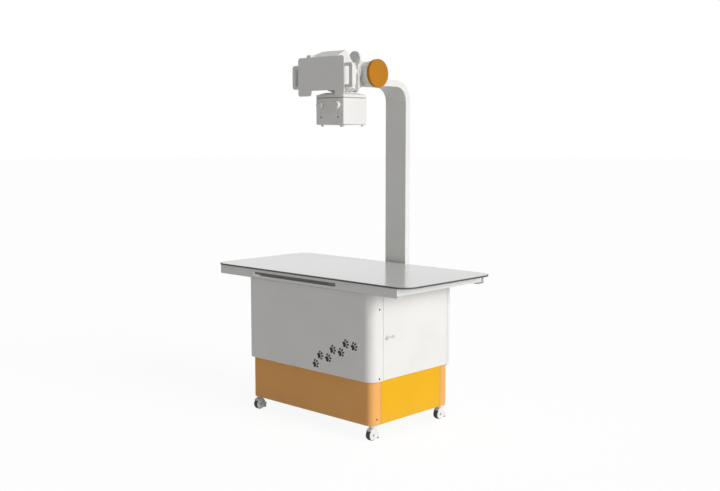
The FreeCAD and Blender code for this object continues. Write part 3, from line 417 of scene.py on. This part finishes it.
def socketScrew(bm, centre, outward, radius, height):
    ring = bmesh.ops.create_circle(bm, segments=screwShape["sides"], radius=radius)["verts"]
    made = set(ring)
    edges = list({e for v in ring for e in v.link_edges})
    wide, high = 1.0, 0.0
    for share, rise in screwShape["steps"]:
        pushed = newVerts(bmesh.ops.extrude_edge_only(bm, edges=edges))
        edges = edgesWithin(pushed)
        bmesh.ops.scale(bm, vec=(share / wide, share / wide, 1.0), verts=pushed)
        bmesh.ops.translate(bm, vec=(0.0, 0.0, height * (rise - high)), verts=pushed)
        wide, high = share, rise
        made |= set(pushed)
    hexagon = bmesh.ops.create_circle(bm, segments=6, radius=radius * screwShape["socket"])["verts"]
    bmesh.ops.translate(bm, vec=(0.0, 0.0, height), verts=hexagon)
    hexEdges = list({e for v in hexagon for e in v.link_edges})
    bmesh.ops.bridge_loops(bm, edges=edges + hexEdges)
    floor = newVerts(bmesh.ops.extrude_edge_only(bm, edges=hexEdges))
    bmesh.ops.translate(bm, vec=(0.0, 0.0, -height * screwShape["depth"]), verts=floor)
    bmesh.ops.contextual_create(bm, geom=edgesWithin(floor))
    made |= set(hexagon) | set(floor)
    bmesh.ops.transform(bm, matrix=Matrix.Translation(centre) @ outwardTurn(outward), verts=list(made))


# A hexagon bolt with a washer under it: sides, width, foot, top and taper as shares of its radius and height
boltShape = {"washer": (28, 1.5, 0.0, 0.18, 1.0), "head": (6, 1.0, 0.18, 1.0, 0.90)}


def hexBolt(bm, centre, outward, radius, height):
    for sides, wide, low, high, taper in boltShape.values():
        made = bmesh.ops.create_cone(bm, cap_ends=True, segments=sides, radius1=radius * wide,
                                     radius2=radius * wide * taper, depth=height * (high - low))["verts"]
        rise = Matrix.Translation((0.0, 0.0, height * (low + high) / 2.0))
        bmesh.ops.transform(bm, matrix=Matrix.Translation(centre) @ outwardTurn(outward) @ rise, verts=made)


# The panel's front carries a walk of dark paw prints
trail = {"face": -292.0, "thick": 0.12, "from": (58.0, 322.0), "to": (308.0, 438.0), "prints": 7,
         "stride": 14.0, "toeIn": 6.0, "scale": 1.35, "segments": 20}
# Each oval of a print: its centre, its half width and half height, and its lean in degrees
pad = [(0.0, -2.0, 9.0, 7.2, 0.0), (-5.6, -6.2, 4.4, 4.2, 0.0), (5.6, -6.2, 4.4, 4.2, 0.0)]
toes = [(-12.2, 5.4, 3.6, 5.4, 28.0), (-4.8, 12.6, 3.7, 6.0, 9.0),
        (4.8, 12.6, 3.7, 6.0, -9.0), (12.2, 5.4, 3.6, 5.4, -28.0)]


def printDisc(bm, cx, cz, rx, rz, lean, heading, origin):
    made = bmesh.ops.create_circle(bm, cap_ends=True, segments=trail["segments"], radius=1.0)
    turn = Matrix.Rotation(math.radians(lean), 4, "Z")
    walk = Matrix.Rotation(heading, 4, "Z") @ Matrix.Scale(trail["scale"], 4)
    flat = walk @ Matrix.Translation((cx, cz, 0.0)) @ turn @ Matrix.Diagonal((rx, rz, 1.0, 1.0))
    place = spot(origin[0], trail["face"] - trail["thick"], origin[1])
    stand = Matrix.Translation(place) @ Matrix.Rotation(math.pi / 2, 4, "X")
    bmesh.ops.transform(bm, matrix=stand @ Matrix.Scale(0.001, 4) @ flat, verts=made["verts"])


trailMesh = bmesh.new()
run = Vector(trail["to"]) - Vector(trail["from"])
heading = math.atan2(run.y, run.x) - math.pi / 2
side = Vector((-run.y, run.x)).normalized()
for i in range(trail["prints"]):
    sway = trail["stride"] if i % 2 else -trail["stride"]
    centre = Vector(trail["from"]) + run * i / (trail["prints"] - 1) + side * sway
    toeIn = heading + math.radians(-trail["toeIn"] if i % 2 else trail["toeIn"])
    for x, z, rx, rz, lean in pad + toes:
        printDisc(trailMesh, x, z, rx, rz, lean, toeIn, centre)
for face in list(trailMesh.faces):
    moved = newVerts(bmesh.ops.extrude_face_region(trailMesh, geom=[face]))
    bmesh.ops.translate(trailMesh, vec=(0.0, trail["thick"] / 1000.0, 0.0), verts=moved)
finished(trailMesh, "paw_trail", "cart", [darkPrint])
print("paw trail")


# Screws of the wraps and the plinth
panelScrew = {"x": 427.5, "y": -241.0, "z": (288.0, 604.0), "radius": 4.2, "height": 2.0,
              "plinthX": 410.5, "plinthY": -240.0, "plinthZ": 98.0, "plinthRadius": 3.8}
screwMesh = bmesh.new()
for sx in (-1, 1):
    for z in panelScrew["z"]:
        socketScrew(screwMesh, spot(sx * panelScrew["x"], panelScrew["y"], z), (sx, 0.0, 0.0),
                    panelScrew["radius"] / 1000.0, panelScrew["height"] / 1000.0)
    low = spot(sx * panelScrew["plinthX"], panelScrew["plinthY"], panelScrew["plinthZ"])
    socketScrew(screwMesh, low, (sx, 0.0, 0.0),
                panelScrew["plinthRadius"] / 1000.0, panelScrew["height"] / 1000.0)
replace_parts(finished(screwMesh, "wrap_screws", "cart", [darkScrew]), "panel_screws")
print("panel screws")


# Collimator: two dark screws with index lines, marks around the knobs and a pointer on each knob
dial = {"x": 57.0, "face": -128.0, "screwZ": 1462.0, "radius": 3.9, "height": 1.6,
        "lineWidth": 1.4, "lineFrom": 1469.0, "lineTo": 1494.0, "lineProud": 0.15, "lineSunk": 0.1,
        "lineSoft": 0.00005, "knobZ": 1518.0, "knobFace": -146.0, "markHalf": 0.8, "markIn": 9.0,
        "markOut": 15.5, "markProud": 0.5, "markSunk": 0.3, "markSoft": 0.0002,
        "tickIn": 21.5, "tickOut": 24.5, "tickWidth": 0.0006, "tickThick": 0.00025,
        "tickTurn": 22.5, "tickSide": 4}
dotMesh = bmesh.new()
lineMesh = bmesh.new()
for sx in (-1, 1):
    socketScrew(dotMesh, spot(sx * dial["x"], dial["face"], dial["screwZ"]), (0.0, -1.0, 0.0),
                dial["radius"] / 1000.0, dial["height"] / 1000.0)
    half = dial["lineWidth"] / 2.0
    softBar(lineMesh, spot(sx * dial["x"] - half, dial["face"] - dial["lineProud"], dial["lineFrom"]),
            spot(sx * dial["x"] + half, dial["face"] + dial["lineSunk"], dial["lineTo"]), dial["lineSoft"])
    hub = Matrix.Translation(spot(sx * dial["x"], dial["face"], dial["knobZ"]))
    for step in range(-dial["tickSide"], dial["tickSide"] + 1):
        made = bmesh.ops.create_cube(lineMesh, size=1.0)["verts"]
        middle = (dial["tickIn"] + dial["tickOut"]) / 2000.0
        tickLength = (dial["tickOut"] - dial["tickIn"]) / 1000.0
        shape = Matrix.Diagonal((dial["tickWidth"], dial["tickThick"], tickLength, 1.0))
        turned = Matrix.Rotation(math.radians(step * dial["tickTurn"]), 4, "Y")
        aim = turned @ Matrix.Translation((0.0, 0.0, middle)) @ shape
        bmesh.ops.transform(lineMesh, matrix=hub @ aim, verts=made)
finished(dotMesh, "collimator_screws", "collimator", [darkScrew])
finished(lineMesh, "index_lines", "collimator", [markPaint])
for sx, body in ((-1, "left_knob"), (1, "right_knob")):
    markMesh = bmesh.new()
    front, back = dial["knobFace"] - dial["markProud"], dial["knobFace"] + dial["markSunk"]
    low = spot(sx * dial["x"] - dial["markHalf"], front, dial["knobZ"] + dial["markIn"])
    high = spot(sx * dial["x"] + dial["markHalf"], back, dial["knobZ"] + dial["markOut"])
    softBar(markMesh, low, high, dial["markSoft"])
    finished(markMesh, body + "_pointer", body, [markPaint])

# A dark strip runs around in the lid's groove. It is painted shade that darkens the groove line, not a real
# seal.
grooveShadeStrip = {"halfX": 91.15, "low": 1551.6, "high": 1554.4, "y": (-126.15, 29.15), "corner": 4.0, "thick": 0.6,
        "segments": 32}
grooveShadeMesh = bmesh.new()
ring = bmesh.ops.create_circle(grooveShadeMesh, segments=grooveShadeStrip["segments"], radius=grooveShadeStrip["corner"] / 1000.0)["verts"]
halfStep = Matrix.Rotation(math.pi / grooveShadeStrip["segments"], 3, "Z")
bmesh.ops.rotate(grooveShadeMesh, verts=ring, cent=(0.0, 0.0, 0.0), matrix=halfStep)
middleY = sum(grooveShadeStrip["y"]) / 2.0
reach = Vector((grooveShadeStrip["halfX"] - grooveShadeStrip["corner"], grooveShadeStrip["y"][1] - middleY - grooveShadeStrip["corner"], 0.0)) / 1000.0
for vert in ring:
    vert.co += Vector((math.copysign(reach.x, vert.co.x), math.copysign(reach.y, vert.co.y), 0.0))
bmesh.ops.translate(grooveShadeMesh, vec=spot(0.0, middleY, grooveShadeStrip["low"]), verts=ring)
upper = newVerts(bmesh.ops.extrude_edge_only(grooveShadeMesh, edges=grooveShadeMesh.edges[:]))
bmesh.ops.translate(grooveShadeMesh, vec=(0.0, 0.0, (grooveShadeStrip["high"] - grooveShadeStrip["low"]) / 1000.0), verts=upper)
bmesh.ops.recalc_face_normals(grooveShadeMesh, faces=grooveShadeMesh.faces)
bmesh.ops.solidify(grooveShadeMesh, geom=grooveShadeMesh.faces[:], thickness=-grooveShadeStrip["thick"] / 1000.0)
finished(grooveShadeMesh, "lid_groove_painted_shade", "collimator", [paintedGrooveShade])

# A centring cross is printed under the window
cross = {"z": 1428.9, "thick": 0.1, "y": -48.5, "reach": 52.0, "half": 0.35, "soft": 0.00003}
crossMesh = bmesh.new()
for alongX, alongY in ((cross["reach"], cross["half"]), (cross["half"], cross["reach"])):
    softBar(crossMesh, spot(-alongX, cross["y"] - alongY, cross["z"] - cross["thick"]),
            spot(alongX, cross["y"] + alongY, cross["z"]), cross["soft"])
finished(crossMesh, "window_cross", "collimator", [darkPrint])
print("collimator details")


# Casters: treaded wheels with grey cores, and domed axle caps on the forks
caster = {"x": 387.6, "y": 240.7, "trail": -10.7, "radius": 26.0, "forkHalf": 13.5, "coreRadius": 17.0,
          "sides": 56, "capSides": 28}
# Half outlines: the distance along the axle and the radius
wheelProfile = [(10.8, 22.6), (9.9, 24.9), (7.8, 26.0), (5.4, 26.0), (4.9, 25.1), (3.6, 25.1), (3.1, 26.0)]
coreProfile = [(7.2, 4.06), (7.2, 13.5), (8.2, 15.0), (10.0, 16.2), (10.8, 17.2)]
capProfile = [(0.0, 6.5), (0.7, 6.4), (1.3, 5.4), (1.6, 3.0), (1.7, 0.01)]
casters = [("front_left", -1, -1), ("front_right", 1, -1), ("rear_left", -1, 1), ("rear_right", 1, 1)]
for label, sx, sy in casters:
    centre = spot(sx * caster["x"], sy * caster["y"] + caster["trail"], caster["radius"])
    wheelMesh = bmesh.new()
    half = coreProfile + wheelProfile
    whole = half + [(-along, radius) for along, radius in reversed(half)]
    verts = [wheelMesh.verts.new((along / 1000.0, 0.0, radius / 1000.0)) for along, radius in whole]
    edges = [wheelMesh.edges.new(pair) for pair in zip(verts, verts[1:] + verts[:1])]
    bmesh.ops.spin(wheelMesh, geom=verts + edges, cent=(0.0, 0.0, 0.0), axis=(1.0, 0.0, 0.0),
                   angle=2.0 * math.pi, steps=caster["sides"], use_merge=True)
    for face in wheelMesh.faces:
        face.material_index = 1 if face.calc_center_median().yz.length * 1000.0 < caster["coreRadius"] else 0
    bmesh.ops.translate(wheelMesh, vec=centre, verts=wheelMesh.verts)
    rubberAndCore = [finishes["wheel_grey"], wheelCore]
    wheel = finished(wheelMesh, "tread_" + label, "wheel_" + label + "_body", rubberAndCore)
    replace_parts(wheel, "wheel_" + label)
    capMesh = bmesh.new()
    for way in (-1, 1):
        verts = [capMesh.verts.new((way * (caster["forkHalf"] + along) / 1000.0, 0.0, radius / 1000.0))
                 for along, radius in capProfile]
        edges = [capMesh.edges.new(pair) for pair in zip(verts, verts[1:])]
        bmesh.ops.spin(capMesh, geom=verts + edges, cent=(0.0, 0.0, 0.0), axis=(1.0, 0.0, 0.0),
                       angle=2.0 * math.pi, steps=caster["capSides"], use_merge=True)
    bmesh.ops.holes_fill(capMesh, edges=capMesh.edges, sides=caster["capSides"])
    bmesh.ops.translate(capMesh, vec=centre, verts=capMesh.verts)
    finished(capMesh, "axle_caps_" + label, "fork_" + label + "_body", [wheelCore])
print("casters")


# Left end panel: pressed hoods over the louvres
hood = {"panelX": -427.5, "firstZ": 330.0, "pitch": 16.0, "count": 8, "y": (-94.0, 114.0),
        "reach": 6.5, "foot": 1.0, "rise": 9.0, "steps": 6, "wall": 1.2}
hoodMesh = bmesh.new()
for i in range(hood["count"]):
    foot = hood["firstZ"] + hood["pitch"] * i - hood["foot"]
    verts = []
    for s in range(hood["steps"] + 1):
        angle = math.pi / 2 * s / hood["steps"]
        out = hood["panelX"] - hood["reach"] * math.sin(angle)
        verts.append(hoodMesh.verts.new(spot(out, hood["y"][0], foot + hood["rise"] * math.cos(angle))))
    edges = [hoodMesh.edges.new(pair) for pair in zip(verts, verts[1:])]
    pushed = newVerts(bmesh.ops.extrude_edge_only(hoodMesh, edges=edges))
    bmesh.ops.translate(hoodMesh, vec=(0.0, (hood["y"][1] - hood["y"][0]) / 1000.0, 0.0), verts=pushed)
    for y, group in ((hood["y"][0], verts), (hood["y"][1], pushed)):
        inner = hoodMesh.verts.new(spot(hood["panelX"], y, foot))
        rim = sorted(group, key=lambda v: -v.co.z)
        hoodMesh.faces.new(rim + [inner])
bmesh.ops.recalc_face_normals(hoodMesh, faces=hoodMesh.faces)
bmesh.ops.solidify(hoodMesh, geom=hoodMesh.faces[:], thickness=hood["wall"] / 1000.0)
finished(hoodMesh, "louvre_hoods", "cart", [finishes["white_paint"]])
print("louvre hoods")


# Rear: bolts through the column into its brackets, a cable cover on the column, screws of the inlet
rear = {"y": 376.0, "boltX": 36.0, "boltZ": (162.0, 198.0, 572.0, 608.0),
        "boltRadius": 6.5, "boltHeight": 6.0, "coverX": 26.0, "coverZ": (760.0, 1440.0), "coverThick": 1.2,
        "coverSoft": 0.0004, "coverScrewX": 19.0, "coverScrewZ": (775.0, 1100.0, 1425.0),
        "coverScrewRadius": 3.0, "coverScrewHeight": 1.5, "inlet": (-250.0, 295.0, 340.0),
        "inletScrewX": 20.0, "inletScrewRadius": 2.8, "inletScrewHeight": 1.4}
boltMesh = bmesh.new()
for sx in (-1, 1):
    for z in rear["boltZ"]:
        hexBolt(boltMesh, spot(sx * rear["boltX"], rear["y"], z), (0.0, 1.0, 0.0),
                rear["boltRadius"] / 1000.0, rear["boltHeight"] / 1000.0)
finished(boltMesh, "column_bolts", "cart", [boltZinc])
coverMesh = bmesh.new()
softBar(coverMesh, spot(-rear["coverX"], rear["y"], rear["coverZ"][0]),
        spot(rear["coverX"], rear["y"] + rear["coverThick"], rear["coverZ"][1]), rear["coverSoft"])
finished(coverMesh, "cable_cover", "cart", [finishes["white_paint"]])
smallMesh = bmesh.new()
for sx in (-1, 1):
    for z in rear["coverScrewZ"]:
        place = spot(sx * rear["coverScrewX"], rear["y"] + rear["coverThick"], z)
        socketScrew(smallMesh, place, (0.0, 1.0, 0.0),
                    rear["coverScrewRadius"] / 1000.0, rear["coverScrewHeight"] / 1000.0)
    inletX, inletY, inletZ = rear["inlet"]
    socketScrew(smallMesh, spot(inletX + sx * rear["inletScrewX"], inletY, inletZ), (0.0, 1.0, 0.0),
                rear["inletScrewRadius"] / 1000.0, rear["inletScrewHeight"] / 1000.0)
finished(smallMesh, "rear_screws", "cart", [darkScrew])
print("rear details")


# Key slot in the latch
keySlot = {"low": (433.75, -192.6, 466.5), "high": (434.05, -191.4, 473.5), "soft": 0.00005}
keyMesh = bmesh.new()
softBar(keyMesh, spot(*keySlot["low"]), spot(*keySlot["high"]), keySlot["soft"])
finished(keyMesh, "key_slot", "latch", [darkPrint])
print("latch detail")


# Floor and light
stage = {"radius": 60.0, "sides": 96, "floor": (0.86, 0.86, 0.86), "glow": 1.08, "share": 0.85}
light = {"fill": 0.27, "key": 2.45, "keySpread": 38.0, "keyHeight": 18.0, "keyTurn": 4.0}


def seenDirectly(f):
    path = f.node("ShaderNodeLightPath", output="Is Camera Ray")
    glossy = f.node("ShaderNodeLightPath", output="Is Glossy Ray")
    through = f.node("ShaderNodeLightPath", output="Is Transmission Ray")
    return path.biggest(glossy).biggest(through)


def studioFloor():
    bm = bmesh.new()
    bmesh.ops.create_circle(bm, cap_ends=True, segments=stage["sides"], radius=stage["radius"])
    mesh = bpy.data.meshes.new("floor")
    bm.to_mesh(mesh)
    bm.free()
    f = Finish("floorPaint")
    f.tree.nodes.remove(f.shader)
    plain = f.node("ShaderNodeBsdfDiffuse", {}, {"Color": stage["floor"]})
    glow = f.node("ShaderNodeEmission", {}, {"Color": (1.0, 1.0, 1.0), "Strength": stage["glow"]})
    mixed = f.node("ShaderNodeMixShader", {}, {0: seenDirectly(f) * stage["share"], 1: plain, 2: glow})
    f.feed(f.tree.nodes["Material Output"].inputs["Surface"], mixed)
    mesh.materials.append(f.owner)
    floor = bpy.data.objects.new("floor", mesh)
    bpy.context.scene.collection.objects.link(floor)


def studioLight():
    sky = bpy.data.worlds.new("studio")
    bpy.context.scene.world = sky
    f = Finish("studio", world=sky)
    back = f.tree.nodes["Background"]
    back.inputs["Color"].default_value = (1.0, 1.0, 1.0, 1.0)
    f.feed(back.inputs["Strength"], light["fill"] + seenDirectly(f) * (1.0 - light["fill"]))
    lamp = bpy.data.lights.new("key", "SUN")
    lamp.energy = light["key"]
    lamp.angle = math.radians(light["keySpread"])
    key = bpy.data.objects.new("key", lamp)
    height, turn = math.radians(light["keyHeight"]), math.radians(light["keyTurn"])
    toward = Vector((math.cos(height) * math.cos(turn), math.cos(height) * math.sin(turn), math.sin(height)))
    key.rotation_euler = toward.to_track_quat("Z", "Y").to_euler()
    bpy.context.scene.collection.objects.link(key)


studioFloor()
studioLight()
print("stage and light")
